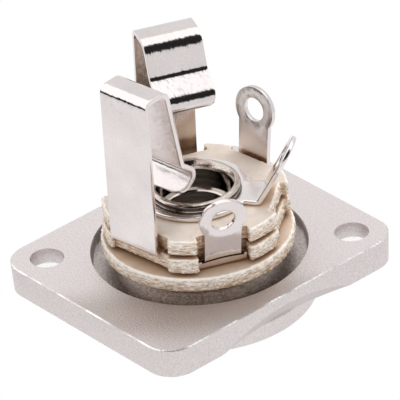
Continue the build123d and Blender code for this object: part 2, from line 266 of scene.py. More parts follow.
def nickel_casting():
    """Zinc die casting, blasted and plated with satin nickel: soft grey, with a fine sparkling grain."""
    base = tuple(colours().casting)
    material, tree, shader, place = new_material("satin_nickel_zinc_casting", base, 1.0, 0.42)
    parts = add(tree, "ShaderNodeSeparateXYZ", {"Vector": place})
    height = parts.outputs["Z"]
    normal = add(tree, "ShaderNodeNewGeometry").outputs["Normal"]
    lean = add(tree, "ShaderNodeSeparateXYZ", {"Vector": normal}).outputs["Z"]

    # Blasted grain of 0.05 mm, drawn at 0.2 mm so that it shows, and broad patches of 4 mm
    grain = add(
        tree, "ShaderNodeTexNoise", {"Vector": place, "Scale": 5000, "Detail": 2.0, "Roughness": 0.7}
    )
    broad = add(tree, "ShaderNodeTexNoise", {"Vector": place, "Scale": 260, "Detail": 2.0})
    tone = add(
        tree,
        "ShaderNodeValToRGB",
        {"Fac": grain},
        stops=[(0.32, tinted(base, 0.86)), (0.66, tinted(base, 1.07))],
    )

    # Distances from the axis, and from it towards the near corner
    flat = add(tree, "ShaderNodeVectorMath", {0: place, 1: (1.0, 1.0, 0.0)}, operation="MULTIPLY")
    radius = add(tree, "ShaderNodeVectorMath", {0: flat}, operation="LENGTH").outputs["Value"]
    near = (cos(NEAR_CORNER), sin(NEAR_CORNER), 0.0)
    toward = add(tree, "ShaderNodeVectorMath", {0: flat, 1: near}, operation="DOT_PRODUCT").outputs["Value"]

    # Painted shade: the slab's top is coloured a little darker between the recess and the near corner,
    # where the stack's shadow falls
    on_top = zone(tree, height, -0.1 * MM, 1.0 * MM, 0.05 * MM)
    painted_stack_shade = zone(tree, toward, 8.0 * MM, 15.5 * MM, 2.5 * MM, within=on_top)
    with_stack_shade = add(
        tree,
        "ShaderNodeMix",
        {"Factor": painted_stack_shade, 6: tone, 7: srgb("E0DCD8")},
        data_type="RGBA",
        blend_type="MULTIPLY",
    ).outputs[2]

    # Painted shade down in the recess, darkest towards the near corner; the recess is also made shinier
    recess_shade_gradient = add(
        tree,
        "ShaderNodeMapRange",
        {"Value": toward, "From Min": 3.0 * MM, "From Max": 8.5 * MM, "To Min": 0.55, "To Max": 1.0},
    )
    recess = zone(tree, radius, -1.0 * MM, RECESS_RADIUS, 0.05 * MM, within=recess_shade_gradient)
    recess = zone(tree, height, RECESS_FLOOR - 0.3 * MM, -0.21 * MM, 0.1 * MM, within=recess)
    recess_shade_tone = add(
        tree,
        "ShaderNodeValToRGB",
        {"Fac": grain},
        stops=[(0.34, srgb("4A3D37")), (0.62, srgb("A09189"))],
    )
    whole = add(
        tree, "ShaderNodeMix", {"Factor": recess, 6: with_stack_shade, 7: recess_shade_tone}, data_type="RGBA"
    ).outputs[2]

    # Painted shade: the leaning hollows of the long sides are coloured a shade darker than the blasted
    # faces
    inner_sides = zone(
        tree, parts.outputs["X"], -FLANGE_HALF + 0.1 * MM, FLANGE_HALF - 0.1 * MM, 0.03 * MM
    )
    low_sides = zone(tree, height, FLANGE_FRONT + 0.025 * MM, -1.2 * MM, 0.03 * MM)
    hollow_shade = zone(tree, lean, -0.62, -0.4, 0.03, within=inner_sides)
    hollow_shade = add(tree, "ShaderNodeMath", {0: hollow_shade, 1: low_sides}, operation="MULTIPLY")
    shaded = add(
        tree, "ShaderNodeMix", {"Factor": hollow_shade, 6: whole, 7: srgb("CDC5C3")}, data_type="RGBA"
    ).outputs[2]

    # Painted highlights, with patches of edge wear: upward-leaning edges are whitened in patches; the
    # boss's rim and the cut countersinks are whitened all round
    patchy = add(
        tree,
        "ShaderNodeMapRange",
        {"Value": broad, "From Min": 0.46, "From Max": 0.6, "To Min": 0.0, "To Max": 0.9},
    )
    rubbed_edge_highlight = zone(tree, lean, 0.3, 0.9, 0.08, within=patchy)
    facing_up = zone(tree, lean, 0.5, 2.0, 0.05)
    rim = zone(tree, height, -3.5 * MM, -2.9 * MM, 0.05 * MM, within=facing_up)
    cone = zone(tree, lean, -0.8, -0.66, 0.03, within=low_sides)
    bright = add(tree, "ShaderNodeMath", {0: rubbed_edge_highlight, 1: rim}, operation="MAXIMUM")
    bright = add(tree, "ShaderNodeMath", {0: bright, 1: cone}, operation="MAXIMUM")
    with_painted_highlights = add(
        tree, "ShaderNodeMix", {"Factor": bright, 6: shaded, 7: srgb("FFFEFD")}, data_type="RGBA"
    ).outputs[2]
    tree.links.new(with_painted_highlights, shader.inputs["Base Color"])

    rough = add(tree, "ShaderNodeMapRange", {"Value": broad, "To Min": 0.44, "To Max": 0.52})
    polish = add(tree, "ShaderNodeMath", {0: recess, 1: bright}, operation="MAXIMUM")
    gloss = add(tree, "ShaderNodeMix", {"Factor": polish, 2: rough, 3: 0.22}, data_type="FLOAT")
    tree.links.new(gloss.outputs[0], shader.inputs["Roughness"])
    bump = add(tree, "ShaderNodeBump", {"Height": grain, "Strength": 0.9, "Distance": 0.06 * MM})
    tree.links.new(bump.outputs["Normal"], shader.inputs["Normal"])
    return material


def painted_crease_shadow(tree, place, height, direction, crease, under):
    """A painted shadow: the dark, slightly arched line at the crease between a lug's neck and its foot."""
    outward = (-cos(direction), -sin(direction), 0.0)
    sideways = (-sin(direction), cos(direction), 0.0)
    toward = add(tree, "ShaderNodeVectorMath", {0: place, 1: outward}, operation="DOT_PRODUCT")
    across = add(tree, "ShaderNodeVectorMath", {0: place, 1: sideways}, operation="DOT_PRODUCT")
    across = across.outputs["Value"]
    square = add(tree, "ShaderNodeMath", {0: across, 1: across}, operation="MULTIPLY")
    # The line's ends drop 0.13 mm below its middle
    arched = add(tree, "ShaderNodeMath", {0: square, 1: 35.0, 2: height}, operation="MULTIPLY_ADD")
    on_lug = zone(tree, toward.outputs["Value"], 6.0 * MM, 12.0 * MM, 0.1 * MM)
    on_neck = zone(tree, across, -2.2 * MM, 2.2 * MM, 0.05 * MM, within=on_lug)
    line = zone(tree, arched, crease - 0.1 * MM, crease + 0.13 * MM, 0.04 * MM, within=on_neck)
    return add(
        tree, "ShaderNodeMix", {"Factor": line, 6: under, 7: srgb("2E2622")}, data_type="RGBA"
    ).outputs[2]


def nickel_strip(name, direction, base, smooth, dull, crease=0.0):
    """Rolled bronze strip in nickel: a mirror with fine rolling lines, which fray what it reflects."""
    material, tree, shader, place = new_material(name, base, 1.0, smooth)
    height = add(tree, "ShaderNodeSeparateXYZ", {"Vector": place}).outputs["Z"]
    # Rolling lines 0.02 mm apart, drawn at 0.1 mm so that they show, each about 0.7 mm long
    aligned = add(
        tree, "ShaderNodeMapping", {"Vector": place, "Rotation": (0, 0, -direction), "Scale": (1, 7, 1)}
    )
    lines = add(
        tree, "ShaderNodeTexNoise", {"Vector": aligned, "Scale": 1400, "Detail": 3.0, "Roughness": 0.6}
    )
    # Broad waves of 4 mm in the plating, and specks of 0.2 mm
    waves = add(tree, "ShaderNodeTexNoise", {"Vector": place, "Scale": 260, "Detail": 2.0})
    specks = add(tree, "ShaderNodeTexNoise", {"Vector": place, "Scale": 5200, "Detail": 2.0})
    tone = add(
        tree,
        "ShaderNodeValToRGB",
        {"Fac": waves},
        stops=[(0.3, tinted(base, 0.94)), (0.7, tinted(base, 1.04))],
    )
    mottle = add(
        tree,
        "ShaderNodeValToRGB",
        {"Fac": specks},
        stops=[(0.3, srgb("FAF9F8")), (0.6, srgb("FFFFFF"))],
    )
    plate = add(
        tree,
        "ShaderNodeMix",
        {"Factor": 1.0, 6: tone, 7: mottle},
        data_type="RGBA",
        blend_type="MULTIPLY",
    ).outputs[2]
    # A painted shadow line goes along the lug's crease when its height is given
    if crease:
        plate = painted_crease_shadow(tree, place, height, direction, crease, plate)
    tree.links.new(plate, shader.inputs["Base Color"])
    rough = add(tree, "ShaderNodeMapRange", {"Value": lines, "To Min": smooth, "To Max": dull})
    tree.links.new(rough.outputs["Result"], shader.inputs["Roughness"])

    # Each line tips the mirror a little along the strip, so a dark band frays into hairs at its edge.
    # The stamped plates and lug necks, all below 8 mm, are pressed flatter than the springs.
    normal = add(tree, "ShaderNodeNewGeometry").outputs["Normal"]
    sideways = (-sin(direction), cos(direction), 0)
    along = add(tree, "ShaderNodeVectorMath", {0: normal, 1: sideways}, operation="CROSS_PRODUCT")
    tip = add(tree, "ShaderNodeMapRange", {"Value": lines, "To Min": -0.15, "To Max": 0.15})
    pressed = add(
        tree,
        "ShaderNodeMapRange",
        {"Value": height, "From Min": 8.0 * MM, "From Max": 10.0 * MM, "To Min": 0.2, "To Max": 1.0},
    )
    amount = add(tree, "ShaderNodeMath", {0: tip, 1: pressed}, operation="MULTIPLY")
    shift = add(tree, "ShaderNodeVectorMath", {0: along, "Scale": amount}, operation="SCALE")
    tipped = add(tree, "ShaderNodeVectorMath", {0: normal, 1: shift}, operation="ADD")
    level = add(tree, "ShaderNodeVectorMath", {0: tipped}, operation="NORMALIZE")
    bump = add(
        tree,
        "ShaderNodeBump",
        {"Height": waves, "Strength": 0.2, "Distance": 0.02 * MM, "Normal": level},
    )
    tree.links.new(bump.outputs["Normal"], shader.inputs["Normal"])
    return material


def spring_finish(name, direction, inner, crease=0.0):
    """Bright nickel for the outer side of a spring strip, and duller nickel for its inner side."""
    outer = tuple(colours().strip)
    return [
        nickel_strip(f"bright_nickel_{name}_strip", direction, outer, 0.08, 0.16, crease),
        nickel_strip(f"dull_nickel_{name}_strip_inside", direction, inner, 0.2, 0.28),
    ]


def turned_nickel():
    """Brass, turned and bright nickel plated: fine rings from the tool, and a scuffed rolled lip."""
    base = tuple(colours().turned)
    material, tree, shader, place = new_material("bright_nickel_turned_brass", base, 1.0, 0.1)
    height = add(tree, "ShaderNodeSeparateXYZ", {"Vector": place}).outputs["Z"]
    # Tool rings 0.1 mm apart, drawn 0.75 mm apart so that they show, round the faces and up the walls
    rings = add(
        tree,
        "ShaderNodeTexWave",
        {"Vector": place, "Scale": 420, "Distortion": 0.6, "Detail": 1.0},
        wave_type="RINGS",
        rings_direction="Z",
    ).outputs["Fac"]
    levels = add(
        tree,
        "ShaderNodeTexWave",
        {"Vector": place, "Scale": 420, "Distortion": 0.4, "Detail": 1.0},
        wave_type="BANDS",
        bands_direction="Z",
    ).outputs["Fac"]
    both = add(tree, "ShaderNodeMath", {0: rings, 1: levels}, operation="ADD")
    fine = add(tree, "ShaderNodeBump", {"Height": both, "Strength": 0.6, "Distance": 0.01 * MM})
    # Scuffs of the rolling tool on the lip, 0.15 mm across
    scuffs = add(
        tree, "ShaderNodeTexNoise", {"Vector": place, "Scale": 6500, "Detail": 2.0, "Roughness": 0.6}
    )
    on_lip = add(
        tree, "ShaderNodeMapRange", {"Value": height, "From Min": 6.4 * MM, "From Max": 6.9 * MM}
    )
    scuffed = add(tree, "ShaderNodeMath", {0: scuffs, 1: on_lip}, operation="MULTIPLY")
    bump = add(
        tree,
        "ShaderNodeBump",
        {"Height": scuffed, "Strength": 0.4, "Distance": 0.03 * MM, "Normal": fine},
    )
    tone = add(
        tree, "ShaderNodeValToRGB", {"Fac": scuffed}, stops=[(0.3, base), (0.62, srgb("B9ABA1"))]
    )
    # Painted shadow: the flank under the rolled-over lip is coloured dark
    flat = add(tree, "ShaderNodeVectorMath", {0: place, 1: (1.0, 1.0, 0.0)}, operation="MULTIPLY")
    radius = add(tree, "ShaderNodeVectorMath", {0: flat}, operation="LENGTH").outputs["Value"]
    outside = zone(tree, radius, 4.4 * MM, 5.0 * MM, 0.03 * MM)
    lip_shadow = zone(tree, height, 6.85 * MM, 7.24 * MM, 0.04 * MM, within=outside)
    with_lip_shadow = add(
        tree, "ShaderNodeMix", {"Factor": lip_shadow, 6: tone, 7: srgb("4A403A")}, data_type="RGBA"
    )
    tree.links.new(with_lip_shadow.outputs[2], shader.inputs["Base Color"])
    tree.links.new(bump.outputs["Normal"], shader.inputs["Normal"])
    return material


def plated_steel():
    """Pressed steel in zinc plate: duller and greyer than nickel."""
    base = tuple(colours().hardware)
    material, tree, shader, place = new_material("zinc_plated_steel", base, 1.0, 0.32)
    # Clouds of 1 mm in the zinc
    cloud = add(tree, "ShaderNodeTexNoise", {"Vector": place, "Scale": 900, "Detail": 3.0})
    tone = add(
        tree,
        "ShaderNodeValToRGB",
        {"Fac": cloud},
        stops=[(0.35, tinted(base, 0.86)), (0.7, tinted(base, 1.08))],
    )
    tree.links.new(tone.outputs["Color"], shader.inputs["Base Color"])
    bump = add(tree, "ShaderNodeBump", {"Height": cloud, "Strength": 0.2, "Distance": 0.01 * MM})
    tree.links.new(bump.outputs["Normal"], shader.inputs["Normal"])
    return material


def vulcanised_fibre():
    """Vulcanised fibre board: a smooth cream face, and a torn, tan-specked punched edge, tanner low in each
    board by painted shade and pale on its rounded top by a painted highlight.
    """
    cream = tuple(colours().fibre)
    pale = tuple(colours().fibre_pale)
    tan_specks = tuple(colours().fibre_dark)
    material, tree, shader, place = new_material("vulcanised_fibre_board", cream, 0.0, 0.55)
    shader.inputs["Specular IOR Level"].default_value = 0.35
    # Clouding of the pressed face, 1.5 mm across
    cloud = add(tree, "ShaderNodeTexNoise", {"Vector": place, "Scale": 700, "Detail": 4.0})
    face = add(
        tree,
        "ShaderNodeValToRGB",
        {"Fac": cloud},
        stops=[(0.3, tinted(cream, 0.9)), (0.66, tinted(cream, 1.04))],
    )
    # Torn paper layers of the edge, 0.7 mm long and 0.15 mm high
    layered = add(tree, "ShaderNodeMapping", {"Vector": place, "Scale": (1, 1, 4.5)})
    torn = add(
        tree, "ShaderNodeTexNoise", {"Vector": layered, "Scale": 1500, "Detail": 5.0, "Roughness": 0.62}
    )
    # Share of the way up through a board; boards and strips alternate with one pitch
    height = add(tree, "ShaderNodeSeparateXYZ", {"Vector": place}).outputs["Z"]
    from_foot = add(tree, "ShaderNodeMath", {0: height, 1: -STACK_FOOT}, operation="ADD")
    layer = add(tree, "ShaderNodeMath", {0: from_foot, 1: BOARD_PITCH}, operation="DIVIDE")
    share = add(tree, "ShaderNodeMath", {0: layer}, operation="FRACT")
    # Painted shade: the edge is coloured tanner towards the foot of each board, where it meets the layer
    # below
    shade_toward_foot = add(
        tree,
        "ShaderNodeMapRange",
        {"Value": share, "From Min": 0.6, "From Max": 0.1, "To Min": 0.03, "To Max": -0.07},
    )
    mixed = add(tree, "ShaderNodeMath", {0: torn, 1: shade_toward_foot}, operation="ADD")
    edge = add(
        tree,
        "ShaderNodeValToRGB",
        {"Fac": mixed},
        stops=[(0.33, tan_specks), (0.47, tinted(cream, 0.98)), (0.6, pale)],
    )
    # The surface's own normal tells the cut edge from the pressed face; a painted highlight in pale fibre
    # lies on the rounded upper corner
    normal = add(tree, "ShaderNodeNewGeometry").outputs["Normal"]
    up = add(tree, "ShaderNodeSeparateXYZ", {"Vector": normal}).outputs["Z"]
    upright = add(tree, "ShaderNodeMath", {0: up}, operation="ABSOLUTE")
    is_face = add(tree, "ShaderNodeMapRange", {"Value": upright, "From Min": 0.3, "From Max": 0.7})
    corner = add(
        tree,
        "ShaderNodeMapRange",
        {"Value": up, "From Min": 0.86, "From Max": 0.995, "To Min": is_face, "To Max": 0.0},
    )
    side = add(
        tree, "ShaderNodeMix", {"Factor": is_face, 6: edge, 7: face}, data_type="RGBA"
    ).outputs[2]
    whole = add(
        tree, "ShaderNodeMix", {"Factor": corner, 6: side, 7: pale}, data_type="RGBA"
    ).outputs[2]
    # Painted shade: ambient occlusion darkens the crevices to brown, as light that has passed through the
    # fibre turns them brown
    crevice = add(tree, "ShaderNodeAmbientOcclusion", {"Distance": 2.5 * MM}, samples=8)
    crevice_shade_tone = add(
        tree,
        "ShaderNodeValToRGB",
        {"Fac": crevice.outputs["AO"]},
        stops=[(0.1, srgb("A6795A")), (0.5, srgb("F2E0CB")), (0.9, srgb("FFFFFF"))],
    )
    with_crevice_shade = add(
        tree,
        "ShaderNodeMix",
        {"Factor": 1.0, 6: whole, 7: crevice_shade_tone},
        data_type="RGBA",
        blend_type="MULTIPLY",
    )
    tree.links.new(with_crevice_shade.outputs[2], shader.inputs["Base Color"])
    # The torn layers stand out on the edge and hardly on the face
    depth = add(tree, "ShaderNodeMapRange", {"Value": is_face, "To Min": 1.0, "To Max": 0.06})
    relief = add(tree, "ShaderNodeMath", {0: torn, 1: depth}, operation="MULTIPLY")
    bump = add(tree, "ShaderNodeBump", {"Height": relief, "Strength": 0.9, "Distance": 0.12 * MM})
    tree.links.new(bump.outputs["Normal"], shader.inputs["Normal"])
    return material


def varnished_paper():
    """Wound and varnished paper tube: amber, slightly glossy, with lengthwise fibres."""
    base = tuple(colours().tube)
    material, tree, shader, place = new_material("varnished_paper_tube", base, 0.0, 0.4)
    # Fibres 0.4 mm wide and 2 mm long
    stretched = add(tree, "ShaderNodeMapping", {"Vector": place, "Scale": (1, 1, 0.2)})
    streak = add(tree, "ShaderNodeTexNoise", {"Vector": stretched, "Scale": 2500, "Detail": 3.0})
    tone = add(
        tree,
        "ShaderNodeValToRGB",
        {"Fac": streak},
        stops=[(0.3, tinted(base, 0.8)), (0.7, tinted(base, 1.12))],
    )
    tree.links.new(tone.outputs["Color"], shader.inputs["Base Color"])
    return material


def dress(node, material):
    """Gives a CAD node its material in every slot."""
    mesh = nodes[node].data
    if not mesh.materials:
        mesh.materials.append(material)
    for index in range(len(mesh.materials)):
        mesh.materials[index] = material


def soften(piece, width):
    """Rounds a piece's edges slightly, with modifiers that leave its own mesh as it is."""
    weld = piece.modifiers.new("weld", "WELD")
    weld.merge_threshold = CAD_MERGE
    # Facets within 0.6 degrees of one another become one face, and corners over 28 degrees are rounded
    plain = piece.modifiers.new("plain faces", "DECIMATE")
    plain.decimate_type = "DISSOLVE"
    plain.angle_limit = radians(0.6)
    edge = piece.modifiers.new("rounded edges", "BEVEL")
    edge.width = width
    edge.segments = 2
    edge.profile = 0.5
    edge.limit_method = "ANGLE"
    edge.angle_limit = radians(28)
    edge.use_clamp_overlap = True
    edge.miter_outer = "MITER_ARC"
    normals = piece.modifiers.new("even normals", "WEIGHTED_NORMAL")
    normals.keep_sharp = True
    normals.weight = 60
    for face in piece.data.polygons:
        face.use_smooth = True


def roughen(node):
    """Makes the punched rims of a fibre board uneven, with modifiers that move them sideways only."""
    piece = nodes[node]
    even = piece.modifiers.new("even mesh", "REMESH")
    even.mode = "VOXEL"
    even.voxel_size = 0.1 * MM
    even.use_smooth_shade = True
    # Lumps 0.3 mm across, so that the rims stray by up to 0.1 mm
    for axis in ("X", "Y"):
        lumps = bpy.data.textures.new(f"{node} lumps {axis}", "CLOUDS")
        lumps.noise_scale = 0.3 * MM
        lumps.noise_depth = 2
        lumps.cloud_type = "COLOR" if axis == "Y" else "GRAYSCALE"
        stray = piece.modifiers.new(f"torn rim {axis}", "DISPLACE")
        stray.texture = lumps
        stray.texture_coords = "LOCAL"
        stray.direction = axis
        stray.strength = 0.36 * MM
        stray.mid_level = 0.5


def object_from(name, mesh_maker, materials):
    """A new object at the origin whose mesh is drawn by mesh_maker."""
    mesh = bpy.data.meshes.new(name)
    bm = bmesh.new()
    mesh_maker(bm)
    bm.to_mesh(mesh)
    bm.free()
    made = bpy.data.objects.new(name, mesh)
    bpy.context.scene.collection.objects.link(made)
    for material in materials:
        mesh.materials.append(material)
    return made


def finish_mesh(made):
    """Applies the object's modifiers, so that its mesh is final."""
    bpy.context.view_layer.update()
    graph = bpy.context.evaluated_depsgraph_get()
    whole = bpy.data.meshes.new_from_object(
        made.evaluated_get(graph), preserve_all_data_layers=True, depsgraph=graph
    )
    made.modifiers.clear()
    made.data = whole
    return made


def edges_of(result):
    """The edges of a bmesh operator's result."""
    return [item for item in result if isinstance(item, bmesh.types.BMEdge)]


def verts_of(edges):
    """The points of a row of edges, each once and always in the same order."""
    return list(dict.fromkeys(vert for edge in edges for vert in edge.verts))


def push(bm, edges, way):
    """Draws a row of edges on along a straight way, in even steps."""
    steps = max(1, round(way.length / ROW_STEP))
    for _ in range(steps):
        drawn = bmesh.ops.extrude_edge_only(bm, edges=edges)["geom"]
        edges = edges_of(drawn)
        bmesh.ops.translate(bm, verts=verts_of(edges), vec=way / steps)
    return edges


def follow(bm, edges, corners, bends):
    """Draws a row of edges along a line of (distance, height) corners and spins it round each bend."""
    points = [Vector((x, 0, z)) for x, z in corners]
    here = points[0]
    for index, bend in enumerate(bends, start=1):
        into = (points[index] - points[index - 1]).normalized()
        out = (points[index + 1] - points[index]).normalized()
        turn = into.angle(out)
        reach = bend * tan(turn / 2)
        start = points[index] - into * reach
        if (start - here).length > SHORTEST:
            edges = push(bm, edges, start - here)
        inward = (out - into * out.dot(into)).normalized()
        steps = max(3, round(turn / BEND_STEP))
        spun = bmesh.ops.spin(
            bm,
            geom=edges + verts_of(edges),
            cent=start + inward * bend,
            axis=into.cross(out).normalized(),
            angle=turn,
            steps=steps,
            use_merge=False,
            use_duplicate=False,
        )
        edges = edges_of(spun["geom_last"])
        here = points[index] + out * reach
    if (points[-1] - here).length > SHORTEST:
        edges = push(bm, edges, points[-1] - here)
    return edges


def ring(bm, inner, outer, points, matrix):
    """A flat ring of faces, and the edges of its outer circle."""
    loops = []
    for radius in (inner, outer):
        verts = bmesh.ops.create_circle(
            bm, cap_ends=False, radius=radius, segments=points, matrix=matrix
        )["verts"]
        loops.append(list(dict.fromkeys(edge for vert in verts for edge in vert.link_edges)))
    bmesh.ops.bridge_loops(bm, edges=loops[0] + loops[1])
    return loops[1]


def arm_edges(edges, side, half_width):
    """The edges of a ring's outer circle that look along +X or -X and lie within a half width."""
    return [
        edge
        for edge in edges
        if all(vert.co.x * side > 0 and abs(vert.co.y) < half_width + ARM_MARGIN for vert in edge.verts)
    ]


def arm(bm, edges, distance, half_width):
    """Draws an arm from a plate's rim to a straight row at a distance, with the row's half width."""
    row = edges_of(bmesh.ops.extrude_edge_only(bm, edges=edges)["geom"])
    verts = verts_of(row)
    reach = max(abs(vert.co.y) for vert in verts)
    bmesh.ops.scale(bm, vec=(0, half_width / reach, 1), verts=verts)
    bmesh.ops.translate(bm, vec=(distance, 0, 0), verts=verts)
    return row


def inner_row(row, count, half_width):
    """The middle edges of a row, drawn together to a narrower half width."""
    ordered = sorted(row, key=lambda edge: abs(edge.verts[0].co.y + edge.verts[1].co.y))[:count]
    verts = verts_of(ordered)
    share = half_width / max(abs(vert.co.y) for vert in verts)
    for vert in verts:
        vert.co.y *= share
    return ordered


def bend_start(distance, bend, lean):
    """Where a bend up to a leaning side starts, so that the side's corner lies at a distance."""
    return distance - bend * tan((pi / 2 - lean) / 2)


def lug(bm, row, side, height, shape, neck_half):
    """Bends a row of edges up into a leaning lug: a foot, a neck, and a round, pierced head."""
    s = sizes()
    distance, reach, bend, foot = (shape[key] * MM for key in ("distance", "reach", "bend", "foot"))
    lean = radians(shape["lean"])
    columns = shape["columns"]
    head = s.head_radius
    rise = Vector((side * sin(lean), 0, cos(lean)))
    corner = Vector((side * distance, 0, height))
    top = corner + rise * reach
    start = side * bend_start(distance, bend, lean)
    if not foot:
        row = inner_row(row, columns, neck_half)
    # The neck stops a quarter of a radius short of the head, and a bridge leads on to its lower arc
    stop = top - rise * head * 1.25
    # The knee ends the wide foot; a lug without one has it a third of the way up
    knee = corner + rise * (foot or reach / 3)
    row = follow(bm, row, [(start, height), (corner.x, height), (knee.x, knee.z)], (bend,))
    if foot:
        row = inner_row(row, columns, neck_half)
    row = push(bm, row, stop - knee)
    upright = Matrix((
        (0, side * sin(lean), side * cos(lean), top.x),
        (1, 0, 0, 0),
        (0, cos(lean), -sin(lean), top.z),
        (0, 0, 0, 1),
    ))
    outer = ring(bm, s.head_hole, head, HEAD_POINTS, upright)
    # The lower arc has one edge for each column of the neck; the slack allows for rounding
    half = columns / 2 * (2 * pi / HEAD_POINTS)
    slack = 0.001
    lower = [
        edge
        for edge in outer
        if all((vert.co - top).normalized().dot(-rise) > cos(half) - slack for vert in edge.verts)
    ]
    bmesh.ops.bridge_loops(bm, edges=row + lower)


def round_corners(bm, end, radius, half_width):
    """Narrows the rows near a strip's free end, so that its two corners are round."""
    for vert in bm.verts:
        away = (Vector((vert.co.x, 0, vert.co.z)) - end).length
        if away < radius:
            inset = radius - sqrt(radius**2 - (radius - away) ** 2)
            vert.co.y *= (half_width - inset) / half_width


def strip_object(name, maker, direction, materials):
    """A strip: its middle surface, thickened, with its punched edges rounded, turned to its direction."""

    def whole(bm):
        maker(bm)
        bmesh.ops.remove_doubles(bm, verts=bm.verts, dist=SEAM)
        bmesh.ops.recalc_face_normals(bm, faces=bm.faces)
        bmesh.ops.rotate(bm, verts=bm.verts, cent=(0, 0, 0), matrix=Matrix.Rotation(direction, 3, "Z"))

    made = object_from(name, whole, materials)
    thick = made.modifiers.new("thickness", "SOLIDIFY")
    thick.material_offset = len(materials) - 1
    thick.thickness = sizes().strip_thickness
    thick.offset = 0.0
    thick.use_even_offset = True
    # Only the punched edges are sharper than 50 degrees
    round_edge = made.modifiers.new("punched edges", "BEVEL")
    round_edge.width = sizes().strip_edge
    round_edge.segments = 3
    round_edge.limit_method = "ANGLE"
    round_edge.angle_limit = radians(50)
    normals = made.modifiers.new("even normals", "WEIGHTED_NORMAL")
    normals.keep_sharp = True
    for face in made.data.polygons:
        face.use_smooth = True
    return finish_mesh(made)


# The springs: corners as (distance from the axis, height) in millimetres, bends by their middle radius,
# and leans in degrees from upright. Each spring goes up, over its top and down to the hook at its end.
TIP_SPRING = dict(
    lean=-5.1, distance=9.17, top_z=21.75, top_d=4.04,
    corners=((2.76, 18.4), (0.42, 16.88), (0.1, 15.95), (0.62, 15.65)),
    bends=(1.0, 1.45, 1.05, 1.05, 0.55),
    end_radius=1.5,
)
RING_SPRING = dict(
    lean=-0.85, distance=9.11, top_z=21.75, top_d=6.02,
    corners=((4.5, 12.65), (2.48, 11.06), (4.8, 9.29)),
    bends=(0.65, 1.0, 0.6, 0.85),
    end_radius=1.4,
)
# The lugs: distance from the axis, lean, reach up to the head's centre, bend, height of the wide foot if
# there is one, and how many columns of faces lie across the neck
TIP_LUG = dict(distance=7.75, lean=12.5, reach=6.05, bend=0.5, foot=0.95, columns=14)
RING_LUG = dict(distance=8.74, lean=7.0, reach=6.75, bend=0.4, foot=0.0, columns=14)
SLEEVE_LUG = dict(distance=6.85, lean=29.0, reach=4.85, bend=0.5, foot=0.0, columns=16)
# Widths of the lugs' feet and necks
LUG_FOOT = 5.05
LUG_NECK = 3.8
SLEEVE_NECK = 4.1


def contact_strip(bm, height, spring, lug_sizes):
    """The middle surface of a contact strip: its plate, its lug along -X and its folded spring along +X."""
    s = sizes()
    level = Matrix.Translation((0, 0, height)) @ Matrix.Rotation(RING_STEP, 4, "Z")
    outer = ring(bm, s.plate_hole, s.plate_radius, RING_POINTS, level)

    # Spring: up from its foot, over the top, and down to the hook that meets the plug
    half_width = s.spring_width / 2
    lean = radians(spring["lean"])
    distance = spring["distance"] * MM
    top = spring["top_z"] * MM
    bend = s.bend
    foot = bend_start(distance, bend, lean)
    row = arm(bm, arm_edges(outer, 1, half_width), foot, half_width)
    line = [(foot, height), (distance, height), (distance + (top - height) * tan(lean), top)]
    line += [(spring["top_d"] * MM, top)]
    line += [(d * MM, z * MM) for d, z in spring["corners"]]
    follow(bm, row, line, (bend, *(b * MM for b in spring["bends"])))
    end = Vector((line[-1][0], 0, line[-1][1]))
    round_corners(bm, end, spring["end_radius"] * MM, half_width)

    # Solder lug on the other side, its foot wider than its neck
    start = bend_start(lug_sizes["distance"], lug_sizes["bend"], radians(lug_sizes["lean"])) * MM
    half_width = LUG_FOOT / 2 * MM
    foot_row = arm(bm, arm_edges(outer, -1, half_width), -start, half_width)
    lug(bm, foot_row, -1, height, lug_sizes, LUG_NECK / 2 * MM)


def sleeve_strip(bm):
    """The middle surface of the sleeve terminal: a ring plate and one lug along +X."""
    s = sizes()
    height = s.sleeve_plate_height
    outer = ring(bm, s.sleeve_hole, s.sleeve_radius, RING_POINTS, Matrix.Translation((0, 0, height)))
    start = bend_start(SLEEVE_LUG["distance"], SLEEVE_LUG["bend"], radians(SLEEVE_LUG["lean"])) * MM
    reach = s.sleeve_radius * sin(SLEEVE_LUG["columns"] / 2 * RING_STEP)
    half_width = SLEEVE_NECK / 2 * MM
    row = arm(bm, arm_edges(outer, 1, reach), start, half_width)
    lug(bm, row, 1, height, SLEEVE_LUG, half_width)


class JACK_OT_flange(bpy.types.Operator):
    """Dresses the die cast flange"""

    bl_idname = "jack.flange"
    bl_label = "Flange"

    def execute(self, context):
        s = sizes()

        def merged(bm):
            bm.from_mesh(nodes["flange"].data)
            bmesh.ops.remove_doubles(bm, verts=bm.verts, dist=CAD_MERGE)

        def cones(bm):
            # Cones of 90 degrees, which run on past both of their ends for a clean cut
            rise = s.sink_radius - s.screw_hole
            for side in (1, -1):
                middle = (side * s.screw_x / 2, side * s.screw_y / 2, FLANGE_FRONT + rise / 2)
                bmesh.ops.create_cone(
                    bm,
                    cap_ends=True,
                    segments=HEAD_POINTS,
                    radius1=s.sink_radius + rise,
                    radius2=s.screw_hole - rise,
                    depth=3 * rise,
                    matrix=Matrix.Translation(middle),
                )

        flange = object_from("countersunk_flange", merged, [nickel_casting()])
        cutter = object_from("countersinks", cones, [])
        sink = flange.modifiers.new("countersinks", "BOOLEAN")
        sink.operation = "DIFFERENCE"
        sink.object = cutter
        sink.solver = "EXACT"
        finish_mesh(flange)
        bpy.data.objects.remove(cutter)
        soften(flange, CAST_EDGE)
        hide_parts("flange")
        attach(flange, "jack")
        return {"FINISHED"}


class JACK_OT_bushing(bpy.types.Operator):
    """Dresses the turned bushing, its nut and its washer"""

    bl_idname = "jack.bushing"
    bl_label = "Bushing, nut and washer"

    def execute(self, context):
        dress("bushing", turned_nickel())
        steel = plated_steel()
        for node in ("washer", "nut"):
            soften(nodes[node], STEEL_EDGE)
            dress(node, steel)
        return {"FINISHED"}


